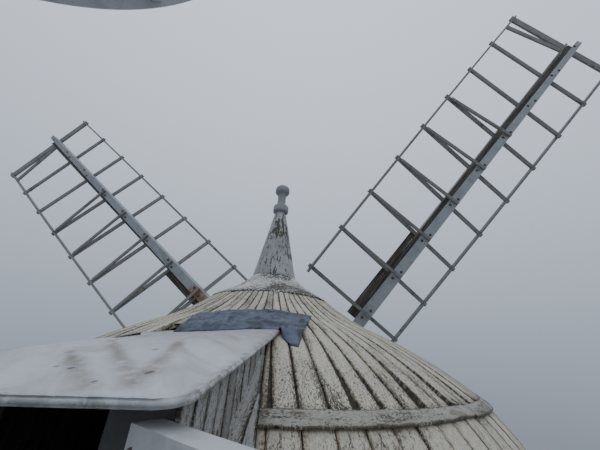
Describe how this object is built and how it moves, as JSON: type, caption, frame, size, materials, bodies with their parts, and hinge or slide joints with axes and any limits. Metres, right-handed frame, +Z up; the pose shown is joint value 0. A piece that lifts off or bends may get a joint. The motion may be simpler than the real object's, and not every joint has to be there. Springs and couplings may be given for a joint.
{
  "type": "traditional windmill",
  "caption": "Tower mill with tarred brick tower, white boarded ogee cap, patent sail frames, rear dormer and fantail; cap, sails and fan turn.",
  "frame": {"origin": "tower axis at ground level", "axes": "+Z up; the sails face -Y and the fantail stands on the +Y side; +X is to the right seen from the front"},
  "size_m": [19.0138, 10.4463, 25.3594],
  "materials": {
    "aged_timber": "rough sawn, aged",
    "bare_sail_timber": "dark weathered timber",
    "brick_paving": "worn brick paving",
    "dark_iron": "dark painted, rust in places",
    "door_paint": "dark green paint, weathered",
    "fan_paint": "white paint, dark edges",
    "fan_timber": "dark weathered timber",
    "finial_paint": "white paint, weathered",
    "floor_timber": "worn floor boards",
    "grey_boards": "grey white paint, weathered",
    "painted_lead": "white painted sheet, lichen stained",
    "sill_stone": "weathered stone",
    "stage_boards": "grey weathered boards",
    "stage_timber": "white paint, weathered",
    "tarred_brick": "matt tarred brickwork, weathered",
    "white_boards": "white paint, flaked and green with algae",
    "white_joinery": "white gloss paint, weathered",
    "white_sail_bars": "thin white paint, weathered",
    "white_sail_timber": "white paint, weathered",
    "white_sheet": "white painted sheet, stained",
    "window_glass": "clear window glass"
  },
  "bodies": {
    "tower": {"curb_ring": "aged_timber", "door_frame": "white_joinery", "door_leaf": "door_paint", "ground_floor": "brick_paving", "tower_cornice": "tarred_brick", "tower_plinth": "tarred_brick", "tower_wall_front": "tarred_brick", "tower_wall_front_left": "tarred_brick", "tower_wall_front_right": "tarred_brick", "tower_wall_left": "tarred_brick", "tower_wall_rear": "tarred_brick", "tower_wall_rear_left": "tarred_brick", "tower_wall_rear_right": "tarred_brick", "tower_wall_right": "tarred_brick", "upper_floors": "floor_timber", "window_frames": "white_joinery", "window_glass": "window_glass", "window_sills": "sill_stone"},
    "cap": {"breast_beam": "aged_timber", "breast_bearing": "dark_iron", "canopy": "white_sheet", "cap_ring": "aged_timber", "dormer_cheeks": "grey_boards", "dormer_returns": "grey_boards", "fan_posts": "stage_timber", "finial": "finial_paint", "hatch_floor": "stage_boards", "hatch_frame": "grey_boards", "knuckle_band": "white_boards", "lead_spire": "painted_lead", "lower_boarding": "white_boards", "shaft_throat": "white_sheet", "sheers": "aged_timber", "stage_floor": "stage_boards", "stage_joists": "stage_timber", "stage_posts": "stage_timber", "stage_rails": "stage_timber", "tail_beam": "aged_timber", "tail_bearing": "dark_iron", "upper_boarding": "white_boards"},
    "sails": {"sail_backs": "white_sail_timber", "sail_clamps": "bare_sail_timber", "sail_cross": "dark_iron", "sail_frame_lower_left": "white_sail_bars", "sail_frame_lower_right": "white_sail_bars", "sail_frame_upper_left": "white_sail_bars", "sail_frame_upper_right": "white_sail_bars", "sail_stays": "white_sail_bars", "sail_whips": "bare_sail_timber", "windshaft": "dark_iron"},
    "fan": {"fan_axle": "dark_iron", "fan_blades": "fan_paint", "fan_spokes": "fan_timber"}
  },
  "joints": [
    {"name": "cap_yaw", "type": "hinge", "parent": "tower", "child": "cap", "pos_m": [0, 0, 14.58], "axis": [0, 0, 1], "continuous": true},
    {"name": "sail_spin", "type": "hinge", "parent": "cap", "child": "sails", "pos_m": [0, -3.1, 16.03], "axis": [0, 0.9848, -0.1736], "continuous": true},
    {"name": "fan_spin", "type": "hinge", "parent": "cap", "child": "fan", "pos_m": [0, 4.335, 18.935], "axis": [1, 0, 0], "continuous": true}
  ]
}
